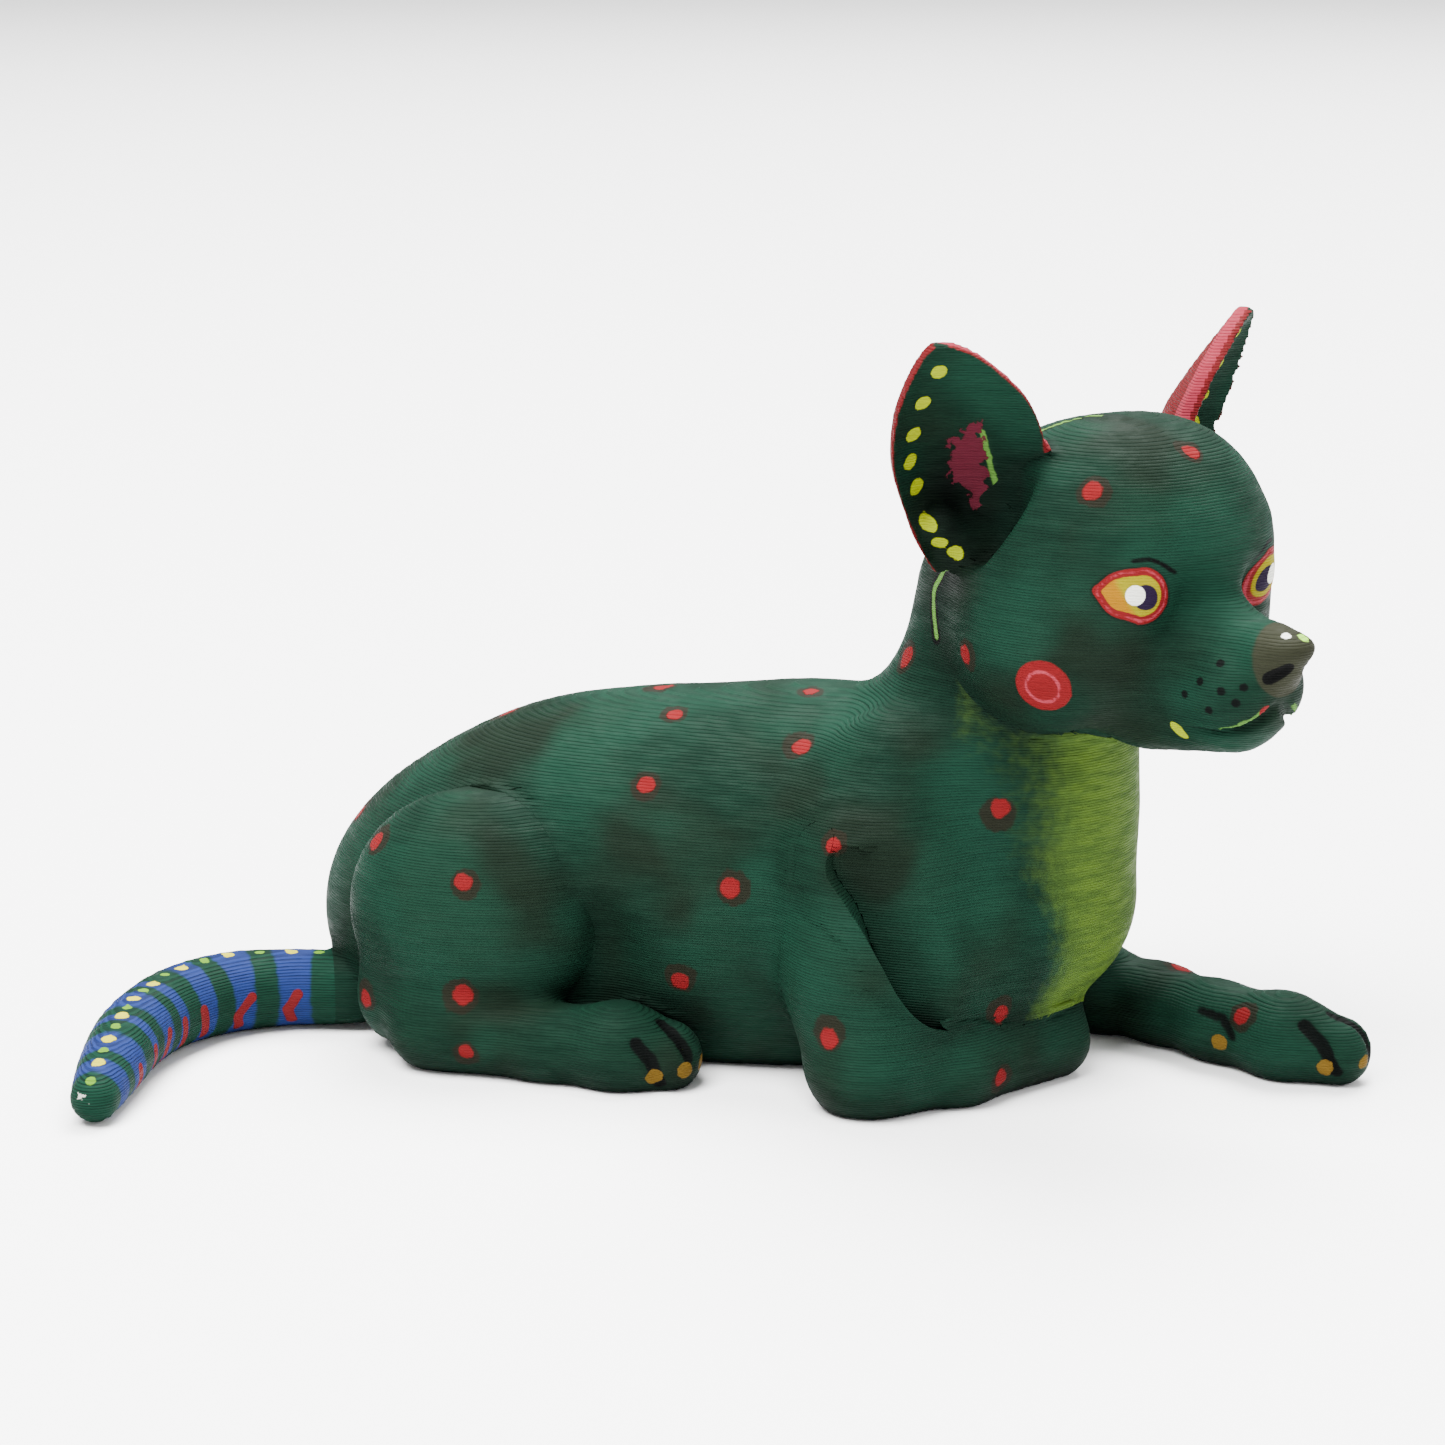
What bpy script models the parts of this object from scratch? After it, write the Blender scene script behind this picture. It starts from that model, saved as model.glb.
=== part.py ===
"""A lying dog in the painted alebrije manner, printed in nine parts that are pegged together.

Frame: +X is the way the body points, +Y is the dog's left, +Z is up. The origin lies on the midline,
in the flat underside of the torso. Lengths below are millimetres; MM turns them into metres.
"""
import math

import bmesh
import bpy
from mathutils import Matrix, Vector

MM = 0.001
CLEARANCE = 0.3  # gap between faces that touch on the real figure
PEG_SIDES = 16

# Driving dimensions -------------------------------------------------------------------------------
BODY_HALF_WIDTH = 18.0
BACK_HEIGHT = 37.3  # top of the loin above the floor
HEAD_CENTRE = (41.8, -4.8, 56.0)  # middle of the skull
HEAD_TURN = -36.0  # degrees about +Z: the head looks out to the dog's right
SKULL = (16.6, 16.6, 13.6)  # half length, half width and half height of the skull
NECK_SEAM_Z = 46.0  # above this height the neck belongs to the head
EAR_FOOT = (-6.5, 18.0, -1.5)  # lower end of the left ear, in the head's own frame
EAR_TIP = (-1.8, 22.6, 22.2)
EAR_HALF_WIDTH = 8.2
EAR_OFFSET = 2.3  # the leaf's middle lies this far towards the skull from the line foot to tip
EAR_DEPTH = 5.3  # from the plane of the rim to the back of the cup
EAR_WALL = 1.3
EAR_HOLLOW = (2.8, 8.5)  # the cup's middle above the leaf's middle, and its half length
EAR_SEAM = (-6.2, 15.2, 3.0)  # middle of the flat pad that the left ear is plugged on to
EAR_PULL = (-0.1, 0.86, 0.5)  # the way the left ear is pulled off
EAR_ROOT = (4.8, 4.2, 6.0)  # half sizes of the thick root at the pad
TAIL_SEAM = (-41.8, -9.4, 4.1)
TAIL_PULL = (-0.924, -0.382, 0.0)
NECK_PEG = (3.0, 19.0)  # radius and length
EAR_PEG = (1.0, 6.5)
TAIL_PEG = (1.5, 12.0)
SHOULDER_PEG = (2.0, 9.0)
HIP_PEG = (2.0, 9.0)

GREEN = (0.020, 0.090, 0.062)
EAR_GREEN = (0.016, 0.070, 0.052)
TAIL_BLUE = (0.050, 0.085, 0.330)
BIRCH = (0.60, 0.44, 0.27)


# Scene ----------------------------------------------------------------------------------------------
def empty_scene():
    for old in list(bpy.data.objects):
        bpy.data.objects.remove(old)


def new_collection(name):
    made = bpy.data.collections.new(name)
    bpy.context.scene.collection.children.link(made)
    return made


def new_material(name, colour, roughness):
    material = bpy.data.materials.new(name)
    material.use_nodes = True
    shader = material.node_tree.nodes["Principled BSDF"]
    shader.inputs["Base Color"].default_value = (*colour, 1.0)
    shader.inputs["Roughness"].default_value = roughness
    shader.inputs["Metallic"].default_value = 0.0
    return material


empty_scene()
FIGURE = new_collection("lying_dog_figure")
CUTTERS = new_collection("cutters")
BODY_PAINT = new_material("body_paint", GREEN, 0.5)
EAR_PAINT = new_material("ear_paint", EAR_GREEN, 0.5)
TAIL_PAINT = new_material("tail_paint", TAIL_BLUE, 0.5)
PEG_WOOD = new_material("peg_wood", BIRCH, 0.6)

IN_BODY = Matrix.Identity(4)
IN_HEAD = Matrix.Translation(HEAD_CENTRE) @ Matrix.Rotation(math.radians(HEAD_TURN), 4, "Z")


# Shapes ---------------------------------------------------------------------------------------------
def mirrored(points):
    """The same points on the dog's other side: y changes sign, and a radius that follows stays."""
    return [(point[0], -point[1], *point[2:]) for point in points]


def add_ball(shape, centre, radii, frame=IN_BODY):
    """An ellipsoid with its axes along the frame's."""
    place = frame @ Matrix.Translation(centre) @ Matrix.Diagonal((*radii, 1.0))
    bmesh.ops.create_uvsphere(shape, u_segments=32, v_segments=18, radius=1.0, matrix=place)


def add_limb(shape, stations, frame=IN_BODY):
    """A round bar through stations (x, y, z, radius), with a ball at each and a cone between two."""
    for station in stations:
        add_ball(shape, station[:3], (station[3],) * 3, frame)
    for start, end in zip(stations, stations[1:]):
        low, high = Vector(start[:3]), Vector(end[:3])
        run = high - low
        place = frame @ Matrix.Translation((low + high) / 2) @ run.to_track_quat("Z", "Y").to_matrix().to_4x4()
        bmesh.ops.create_cone(
            shape, cap_ends=True, segments=24, radius1=start[3], radius2=end[3], depth=run.length, matrix=place
        )


def new_object(name, shape, collection, material=None):
    """Puts the shape, still in millimetres, into the scene in metres."""
    bmesh.ops.transform(shape, matrix=Matrix.Scale(MM, 4), verts=shape.verts)
    mesh = bpy.data.meshes.new(name)
    shape.to_mesh(mesh)
    shape.free()
    made = bpy.data.objects.new(name, mesh)
    collection.objects.link(made)
    if material:
        mesh.materials.append(material)
    if collection is CUTTERS:
        made.hide_render = True
        made.display_type = "WIRE"
    return made


def frozen(item):
    """The object with its modifiers made part of its mesh."""
    graph = bpy.context.evaluated_depsgraph_get()
    item.data = bpy.data.meshes.new_from_object(item.evaluated_get(graph))
    item.modifiers.clear()
    return item


def moulded(name, shape, material, voxel, rounds, triangles):
    """Melts overlapping lumps into one smooth body of about this many triangles."""
    made = new_object(name, shape, FIGURE, material)
    melt = made.modifiers.new("melt", "REMESH")
    melt.mode = "VOXEL"
    melt.voxel_size = voxel * MM
    soften = made.modifiers.new("soften", "SMOOTH")
    soften.iterations = rounds
    frozen(made)
    thin = made.modifiers.new("thin", "DECIMATE")
    thin.ratio = triangles / (2 * len(made.data.polygons))
    frozen(made)
    cut(made, FLOOR)
    return frozen(made)


def cut(item, cutter):
    """Takes the cutter's shape out of the item."""
    saw = item.modifiers.new("cut_" + cutter.name, "BOOLEAN")
    saw.operation = "DIFFERENCE"
    saw.object = cutter
    return item


def grown(piece):
    """A cutter of the piece's shape, larger by the clearance, that makes its seat in a neighbour."""
    seat = bpy.data.objects.new(piece.name + "_seat", piece.data.copy())
    CUTTERS.objects.link(seat)
    seat.hide_render = True
    seat.display_type = "WIRE"
    swell = seat.modifiers.new("clearance", "DISPLACE")
    swell.mid_level = 0.0
    swell.strength = 1.25 * CLEARANCE * MM
    return frozen(seat)


def half_space(name, point, outward, frame=IN_BODY, size=120.0):
    """A cutter that removes everything on the outward side of a plane."""
    shape = bmesh.new()
    turn = Vector(outward).to_track_quat("Z", "Y").to_matrix().to_4x4()
    place = frame @ Matrix.Translation(point) @ turn @ Matrix.Translation((0, 0, size / 2))
    bmesh.ops.create_cube(shape, size=size, matrix=place)
    return new_object(name, shape, CUTTERS)


def round_bar(shape, point, along, radius, length, frame=IN_BODY):
    turn = Vector(along).to_track_quat("Z", "Y").to_matrix().to_4x4()
    place = frame @ Matrix.Translation(point) @ turn
    bmesh.ops.create_cone(
        shape, cap_ends=True, segments=PEG_SIDES, radius1=radius, radius2=radius, depth=length, matrix=place
    )


def peg(name, point, along, size, frame=IN_BODY):
    """A dowel centred on the point, and the cutter for the two sockets that it fills."""
    radius, length = size
    bar = bmesh.new()
    round_bar(bar, point, along, radius, length, frame)
    dowel = new_object(name, bar, FIGURE, PEG_WOOD)
    rim = dowel.modifiers.new("rim", "BEVEL")
    rim.width = 0.15 * radius * MM
    rim.segments = 1
    hole = bmesh.new()
    round_bar(hole, point, along, radius + CLEARANCE, length + 2 * CLEARANCE, frame)
    return new_object(name + "_socket", hole, CUTTERS)


FLOOR = half_space("floor", (0, 0, 0), (0, 0, -1), size=400.0)


# Legs -----------------------------------------------------------------------------------------------
# All four are drawn on the dog's right side, y < 0, and the left ones are mirrored.
HIND_STATIONS = [(-27, -19.8, 4.2, 4.6), (-14, -20.3, 3.4, 4.0), (-6, -20.6, 3.6, 4.7), (-1.2, -20, 3.0, 3.9)]
HOCK_STATIONS = [(-31, -14, 6, 6.0), (-25, -19.5, 4.5, 4.4)]
UPPER_ARM_STATIONS = [(18.5, -14, 24, 7.5), (19.8, -19, 12, 6.8), (20.7, -21.2, 5.2, 6.5)]
TUCKED_STATIONS = [(21, -22.3, 4.4, 5.3), (29.3, -17.3, 3.6, 4.3), (37.5, -6.3, 3.5, 4.1)]
STRETCHED_STATIONS = [
    (22.0, -19.5, 4.8, 5.8),
    (30.0, -13.5, 4.8, 5.0),
    (40.0, -9.5, 4.6, 4.6),
    (47.5, -7.0, 4.1, 4.1),
    (54.0, -3.0, 3.9, 4.1),
    (61.5, 0.8, 3.9, 4.5),
    (67.0, 1.8, 3.2, 3.7),
]
THIGH = ((-23.6, -14.5, 16.0), (13.8, 9.2, 13.0))


def on_side(stations, side):
    return stations if side == "right" else mirrored(stations)


def hind_leg(side):
    """Folded thigh, hock and long foot, lying flat along the belly."""
    shape = bmesh.new()
    centre, radii = THIGH
    add_ball(shape, on_side([centre], side)[0], radii)
    add_limb(shape, on_side(HOCK_STATIONS, side))
    add_limb(shape, on_side(HIND_STATIONS, side))
    return moulded("hind_leg_" + side, shape, BODY_PAINT, voxel=0.8, rounds=4, triangles=460)


def foreleg(side, forearm):
    """Upper arm down to the elbow on the floor, and the forearm that lies on it."""
    shape = bmesh.new()
    add_limb(shape, on_side(UPPER_ARM_STATIONS, side))
    add_limb(shape, on_side(forearm, side))
    return moulded("foreleg_" + side, shape, BODY_PAINT, voxel=0.7, rounds=4, triangles=520)


LEGS = {
    "hind_leg_right": hind_leg("right"),
    "hind_leg_left": hind_leg("left"),
    "foreleg_right": foreleg("right", TUCKED_STATIONS),
    "foreleg_left": foreleg("left", STRETCHED_STATIONS),
}


# Head -----------------------------------------------------------------------------------------------
NECK_STATIONS = [(30.5, 0, 30, 13.0), (33, -1, 50, 11.5)]


def head():
    """Skull, cheeks, short muzzle and nose, with the upper neck under them."""
    shape = bmesh.new()
    add_ball(shape, (0.3, 0, 0), SKULL, IN_HEAD)
    for side in (-1, 1):
        add_ball(shape, (1.0, side * 8.5, -8.5), (11.0, 8.5, 8.5), IN_HEAD)
    add_ball(shape, (-4.0, 0, -8.0), (12.0, 12.0, 9.0), IN_HEAD)
    add_limb(shape, [(8, 0, -11.0, 8.0), (18.6, 0, -10.8, 5.8)], IN_HEAD)
    add_limb(shape, [(10, 0, -5.6, 4.6), (21.5, 0, -7.0, 3.2)], IN_HEAD)
    add_limb(shape, [(6, 0, -13.4, 4.6), (18, 0, -13.4, 3.8)], IN_HEAD)
    add_ball(shape, (23.4, 0, -7.2), (3.0, 3.6, 3.2), IN_HEAD)
    upper_neck(shape)
    return moulded("head", shape, BODY_PAINT, voxel=0.8, rounds=7, triangles=1500)


def upper_neck(shape):
    """The part of the neck above the seam: a short round of it, flat underneath."""
    low, high = (Vector(station[:3]) for station in NECK_STATIONS)
    along = (high - low).normalized()
    start = low + along * ((NECK_SEAM_Z - low.z) / along.z)
    end = high + along * 2.0
    share = (start - low).length / (high - low).length
    radius = NECK_STATIONS[0][3] + share * (NECK_STATIONS[1][3] - NECK_STATIONS[0][3])
    place = Matrix.Translation((start + end) / 2)
    bmesh.ops.create_cone(
        shape, cap_ends=True, segments=32, radius1=radius, radius2=radius - 2, depth=end.z - start.z, matrix=place
    )


HEAD = head()


# Ears -----------------------------------------------------------------------------------------------
RIM_LEVEL = 0.9  # the cup is cut open this far in front of the leaf's middle plane


def ear_frame(side):
    """Axes of one ear: X along it to the tip, Y across it, Z out of its cup."""
    sign = 1 if side == "left" else -1
    foot = Vector((EAR_FOOT[0], sign * EAR_FOOT[1], EAR_FOOT[2]))
    tip = Vector((EAR_TIP[0], sign * EAR_TIP[1], EAR_TIP[2]))
    along = (tip - foot).normalized()
    inward = Vector((0.5, -0.87 * sign, 0.0))
    inward = (inward - along * inward.dot(along)).normalized()
    facing = along.cross(inward) * sign
    middle = (foot + tip) / 2 + inward * EAR_OFFSET
    turn = Matrix((along, facing.cross(along), facing)).transposed().to_4x4()
    return IN_HEAD @ Matrix.Translation(middle) @ turn, (tip - foot).length / 2


def ear(side):
    """A thin leaf-shaped cup on a round root, flat where it is plugged on to the skull."""
    sign = 1 if side == "left" else -1
    frame, half_length = ear_frame(side)
    seam = Vector((EAR_SEAM[0], sign * EAR_SEAM[1], EAR_SEAM[2]))
    pull = Vector((EAR_PULL[0], sign * EAR_PULL[1], EAR_PULL[2])).normalized()
    shape = bmesh.new()
    add_ball(shape, (0, 0, 0), (half_length, EAR_HALF_WIDTH, EAR_DEPTH), frame)
    add_ball(shape, seam + pull * 1.5, EAR_ROOT, IN_HEAD)
    made = moulded("ear_" + side, shape, EAR_PAINT, voxel=0.6, rounds=3, triangles=420)
    hollow = bmesh.new()
    lift, hollow_length = EAR_HOLLOW
    inner = (hollow_length, EAR_HALF_WIDTH - EAR_WALL, EAR_DEPTH - EAR_WALL)
    add_ball(hollow, (lift, 0, RIM_LEVEL), inner, frame)
    cut(made, new_object("ear_hollow_" + side, hollow, CUTTERS))
    cut(made, half_space("ear_rim_" + side, (0, 0, RIM_LEVEL), (0, 0, 1), frame))
    cut(made, half_space("ear_pad_" + side, seam + pull * CLEARANCE, -pull, IN_HEAD))
    cut(HEAD, half_space("skull_flat_" + side, seam, pull, IN_HEAD))
    socket = peg("ear_peg_" + side, seam, pull, EAR_PEG, IN_HEAD)
    cut(made, socket)
    cut(HEAD, socket)


HEAD_SEAT = grown(HEAD)
for ear_side in ("right", "left"):
    ear(ear_side)


# Tail -----------------------------------------------------------------------------------------------
TAIL_STATIONS = [
    (-36.0, -6.5, 5.0, 4.4),
    (-40.4, -8.8, 4.2, 4.0),
    (-46.4, -10.8, 4.0, 4.0),
    (-51.8, -15.1, 4.0, 4.1),
    (-55.1, -21.7, 4.0, 4.0),
    (-56.0, -29.7, 3.8, 3.8),
    (-55.3, -38.0, 3.4, 3.4),
    (-54.3, -45.8, 2.6, 2.5),
]


def tail():
    """A round tail that lies on the floor and curls round to the dog's right."""
    shape = bmesh.new()
    add_limb(shape, TAIL_STATIONS)
    made = moulded("tail", shape, TAIL_PAINT, voxel=0.6, rounds=4, triangles=480)
    rim = Vector(TAIL_SEAM) + Vector(TAIL_PULL) * CLEARANCE
    cut(made, half_space("tail_inner_end", rim, -Vector(TAIL_PULL)))
    return made


TAIL = tail()


# Torso ----------------------------------------------------------------------------------------------
TRUNK = (
    ((-24, 0, 12), (21.0, 17.0, 17.8)),
    ((-17, 0, 15), (21.0, 17.5, 18.6)),
    ((-8, 0, BACK_HEIGHT - 18.8), (24.0, BODY_HALF_WIDTH, 18.8)),
    ((2, 0, 19), (20.0, BODY_HALF_WIDTH, 19.2)),
    ((13, 0, 20), (20.0, BODY_HALF_WIDTH, 20.4)),
    ((-2, 0, 8), (36.0, 15.5, 12.0)),
)


def torso():
    """Rump, loin, ribs, belly, chest and lower neck, flat underneath."""
    shape = bmesh.new()
    for centre, radii in TRUNK:
        add_ball(shape, centre, radii)
    add_limb(shape, [(32.2, 0, 18, 13.0), (30.8, 0, 32, 12.8)])
    add_limb(shape, NECK_STATIONS)
    for side in (-1, 1):
        add_ball(shape, (21, side * 12, 24), (9, 7, 15))
    add_limb(shape, TAIL_STATIONS[:3])
    made = moulded("torso", shape, BODY_PAINT, voxel=1.0, rounds=14, triangles=1700)
    cut(made, half_space("tail_stump", TAIL_SEAM, TAIL_PULL))
    cut(made, half_space("neck_top", (0, 0, NECK_SEAM_Z), (0, 0, 1), size=200.0))
    cut(made, HEAD_SEAT)
    for leg in LEGS.values():
        cut(made, grown(leg))
    return made


TORSO = torso()


# Pegs -----------------------------------------------------------------------------------------------
NECK_PEG_MIDDLE = (31.0, -1.0, 42.5)
HIP_PEG_MIDDLE = (-23.6, -5.6, 17.0)
SHOULDER_PEG_MIDDLE = (19.0, -7.2, 24.0)

neck_socket = peg("neck_peg", NECK_PEG_MIDDLE, (0, 0, 1), NECK_PEG)
cut(TORSO, neck_socket)
cut(HEAD, neck_socket)

tail_socket = peg("tail_peg", TAIL_SEAM, TAIL_PULL, TAIL_PEG)
cut(TORSO, tail_socket)
cut(TAIL, tail_socket)

LEG_PEGS = (
    ("hip_peg_", "hind_leg_", HIP_PEG_MIDDLE, HIP_PEG),
    ("shoulder_peg_", "foreleg_", SHOULDER_PEG_MIDDLE, SHOULDER_PEG),
)
for peg_name, leg_name, middle, peg_size in LEG_PEGS:
    for leg_side in ("right", "left"):
        leg_socket = peg(peg_name + leg_side, on_side([middle], leg_side)[0], (0, 1, 0), peg_size)
        cut(TORSO, leg_socket)
        cut(LEGS[leg_name + leg_side], leg_socket)
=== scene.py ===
import math

import bpy
import numpy as np
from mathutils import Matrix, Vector


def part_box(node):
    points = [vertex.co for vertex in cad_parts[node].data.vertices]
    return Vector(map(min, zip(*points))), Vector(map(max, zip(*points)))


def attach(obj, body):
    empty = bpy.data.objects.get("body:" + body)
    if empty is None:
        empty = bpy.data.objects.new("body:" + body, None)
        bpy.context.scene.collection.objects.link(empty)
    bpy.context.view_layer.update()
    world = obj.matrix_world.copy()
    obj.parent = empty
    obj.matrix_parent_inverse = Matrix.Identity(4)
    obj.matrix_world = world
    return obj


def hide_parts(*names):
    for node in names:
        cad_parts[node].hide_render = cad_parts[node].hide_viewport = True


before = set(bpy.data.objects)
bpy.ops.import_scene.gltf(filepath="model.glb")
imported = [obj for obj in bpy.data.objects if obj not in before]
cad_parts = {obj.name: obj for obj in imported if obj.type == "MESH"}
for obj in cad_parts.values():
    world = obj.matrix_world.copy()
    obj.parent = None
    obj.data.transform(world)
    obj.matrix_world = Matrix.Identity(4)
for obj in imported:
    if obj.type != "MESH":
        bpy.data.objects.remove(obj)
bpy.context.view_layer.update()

MM = 0.001
COARSER = 1.0


# The setting ----------------------------------------------------------------------------------------
# A plain pale table top in a white light tent: a large soft key from the upper left, a weak fill from
# the right, a big lamp high up behind that whitens the table there, and the white of the tent all
# round. The camera stands 40 cm away.
AIM = Vector((0.0, 0.0, 0.0344))
CAMERA_DISTANCE = 0.400
CAMERA_AZIMUTH = math.radians(14.0)
CAMERA_ELEVATION = math.radians(13.5)
TENT_WHITE = (1.0, 1.0, 1.0, 1.0)
TABLE_WHITE = (0.82, 0.82, 0.82, 1.0)


def direction(azimuth, elevation):
    """Unit vector from the aim towards a camera or lamp. Azimuth 0 is the dog's right side."""
    flat = math.cos(elevation)
    return Vector((math.sin(azimuth) * flat, -math.cos(azimuth) * flat, math.sin(elevation)))


def link(made):
    bpy.context.scene.collection.objects.link(made)
    return made


def join(tree, socket, value):
    """Feeds a socket from another socket, or sets it to a constant."""
    if isinstance(value, bpy.types.NodeSocket):
        tree.links.new(value, socket)
    elif value is not None:
        socket.default_value = value


def new_material(name):
    """An empty material: its node tree and its Principled shader."""
    material = bpy.data.materials.new(name)
    material.use_nodes = True
    tree = material.node_tree
    return material, tree, tree.nodes["Principled BSDF"]


def add_camera():
    lens = bpy.data.cameras.new("camera")
    lens.lens = 92.3
    lens.sensor_width = 36.0
    camera = link(bpy.data.objects.new("camera", lens))
    towards = direction(CAMERA_AZIMUTH, CAMERA_ELEVATION)
    camera.location = AIM + towards * CAMERA_DISTANCE
    camera.rotation_euler = towards.to_track_quat("Z", "Y").to_euler()
    bpy.context.scene.camera = camera


def add_lamp(name, azimuth, elevation, distance, size, watts):
    soft = bpy.data.lights.new(name, "AREA")
    soft.shape = "DISK"
    soft.size = size
    soft.energy = watts
    lamp = link(bpy.data.objects.new(name, soft))
    towards = direction(math.radians(azimuth), math.radians(elevation))
    lamp.location = AIM + towards * distance
    lamp.rotation_euler = towards.to_track_quat("Z", "Y").to_euler()


def add_tent(strength):
    world = bpy.data.worlds.new("tent")
    bpy.context.scene.world = world
    world.use_nodes = True
    background = world.node_tree.nodes["Background"]
    background.inputs["Color"].default_value = TENT_WHITE
    background.inputs["Strength"].default_value = strength


def add_table(half):
    mesh = bpy.data.meshes.new("table_top")
    corners = [(-half, -half, 0.0), (half, -half, 0.0), (half, half, 0.0), (-half, half, 0.0)]
    mesh.from_pydata(corners, [], [(0, 1, 2, 3)])
    material, _, shader = new_material("table_top")
    shader.inputs["Base Color"].default_value = TABLE_WHITE
    shader.inputs["Roughness"].default_value = 0.8
    mesh.materials.append(material)
    table = link(bpy.data.objects.new("table_top", mesh))
    table.location.z = -0.0001


add_camera()
add_tent(1.05)
add_table(6.0)
add_lamp("key", azimuth=-30, elevation=66, distance=1.1, size=0.8, watts=68.0)
add_lamp("fill", azimuth=75, elevation=30, distance=1.0, size=0.8, watts=6.0)
add_lamp("backdrop", azimuth=176, elevation=62, distance=2.2, size=1.6, watts=230.0)


# The sculpt -----------------------------------------------------------------------------------------
# The dog was modelled once, whole, and then split into parts that print without props. Here it is a
# set of distance functions in millimetres: each takes an array of points and gives the distance to
# the surface of one part, negative inside. The parts melt into each other where they meet.
HEAD_CENTRE = np.array((41.8, -4.8, 56.0), np.float32)
HEAD_TURN = math.radians(-36.0)
NECK_SEAM_Z = 45.92
TAIL_SEAM = (-41.8, -9.4, 4.1)
TAIL_PULL = (-0.924, -0.382, 0.0)
TAIL_FILLET = 1.2  # past its pad, the tail keeps only the skin this near to it; the rest is rump
TRUNK = (
    ((-24, 0, 12), (21.0, 17.0, 17.8)),
    ((-17, 0, 15), (21.0, 17.5, 18.6)),
    ((-8, 0, 18.5), (24.0, 18.0, 18.8)),
    ((2, 0, 18.6), (20.0, 18.0, 18.6)),
    ((13, 0, 19.6), (20.0, 18.0, 19.8)),
    ((-2, 0, 8), (36.0, 15.5, 12.0)),
)
CHEST = ((32.2, 0, 18, 13.0), (30.8, 0, 32, 12.8))
NECK = ((30.5, 0, 30, 13.0), (33, -1, 50, 11.5))
FLANK_HOLLOW = ((-9.5, 21.5, 11), (6.5, 6.0, 9.0))
SHOULDER_BLADE = ((21, 12, 24), (9, 7, 15))
SHOULDER = ((21.5, 15.6, 22.5, 7.2), (22.6, 17.0, 13.5, 7.4), (30.5, 9.5, 15.0, 8.6))
THIGH = ((-23.6, -14.5, 16.0), (13.8, 9.2, 13.0))
HOCK = ((-31, -14, 6, 6.0), (-25, -19.5, 4.5, 4.4))
HIND_FOOT = (
    (-27, -19.8, 4.2, 4.6),
    (-14, -20.3, 3.4, 4.0),
    (-6, -20.6, 3.6, 4.7),
    (-1.2, -20, 3.0, 3.9),
)
UPPER_ARM = ((18.5, -14, 24, 7.5), (19.8, -19, 12, 6.8), (20.7, -21.2, 5.2, 6.5))
TUCKED = ((21, -22.3, 4.4, 5.3), (29.3, -17.3, 3.6, 4.3), (37.5, -6.3, 3.5, 4.1))
STRETCHED = (
    (22.0, -19.5, 4.8, 5.8),
    (30.0, -13.5, 4.8, 5.0),
    (40.0, -9.5, 4.6, 4.6),
    (47.5, -7.0, 4.1, 4.1),
    (54.0, -3.0, 3.9, 4.1),
    (61.5, 0.8, 3.9, 4.5),
    (67.0, 1.8, 3.2, 3.7),
)
TAIL = (
    (-36.0, -6.5, 5.0, 4.4),
    (-40.4, -8.8, 4.2, 4.0),
    (-46.6, -10.2, 4.1, 4.1),
    (-52.4, -14.0, 4.2, 4.3),
    (-56.2, -20.8, 4.2, 4.2),
    (-57.0, -29.4, 3.9, 3.9),
    (-55.8, -38.0, 3.4, 3.4),
    (-54.5, -45.6, 2.6, 2.5),
)


HIND_TOES = (
    ((-3.1, -24.5, 5.6, 0.3), (-1.7, -24.3, 3.9, 0.3), (-0.9, -23.4, 1.0, 0.3)),
    ((-1.3, -21.0, 7.1, 0.3), (0.5, -21.9, 6.0, 0.3), (2.0, -22.1, 3.7, 0.3)),
)
FORE_TOES = (
    ((63.8, 4.4, 6.5, 0.3), (65.8, 5.1, 4.8, 0.3), (67.3, 4.8, 2.0, 0.3)),
    ((66.5, 1.8, 7.4, 0.3), (69.6, 2.2, 5.6, 0.3), (71.0, 2.2, 2.4, 0.3)),
    ((52.3, 1.0, 6.4, 0.2), (55.0, 2.1, 5.9, 0.2), (56.0, 3.2, 4.3, 0.2)),
)


def curved(stations, parts):
    """More stations, on a smooth curve through the given ones."""
    given = np.array(stations)
    given = np.vstack((2 * given[0] - given[1], given, 2 * given[-1] - given[-2]))
    found = []
    for a, b, c, d in zip(given, given[1:], given[2:], given[3:]):
        for t in np.arange(parts) / parts:
            bend = (2 * a - 5 * b + 4 * c - d) * t * t + (3 * b - a - 3 * c + d) * t**3
            found.append(b + 0.5 * ((c - a) * t + bend))
    return found + [given[-2]]


TAIL_CURVE = curved(TAIL, 4)


def union(a, b, melt):
    """The nearer of two surfaces, rounded off over a width where they meet."""
    share = np.clip(0.5 + 0.5 * (b - a) / melt, 0, 1)
    return b + (a - b) * share - melt * share * (1 - share)


def without(a, b, melt):
    """Surface a with b scooped out of it."""
    return -union(-a, b, melt)


def ball(points, centre, radii):
    """An ellipsoid, its axes along the points' own."""
    away = points - np.array(centre, np.float32)
    radii = np.array(radii, np.float32)
    near = np.linalg.norm(away / radii, axis=-1)
    slope = np.linalg.norm(away / (radii * radii), axis=-1)
    return near * (near - 1) / np.maximum(slope, 1e-6)


def limb(points, start, end):
    """A round bar that tapers from the start's radius to the end's, with round ends."""
    low = np.array(start[:-1], np.float32)
    run = np.array(end[:-1], np.float32) - low
    away = points - low
    share = np.clip(away @ run / (run @ run), 0, 1)
    radius = start[-1] + (end[-1] - start[-1]) * share
    return np.linalg.norm(away - share[..., None] * run, axis=-1) - radius


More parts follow.
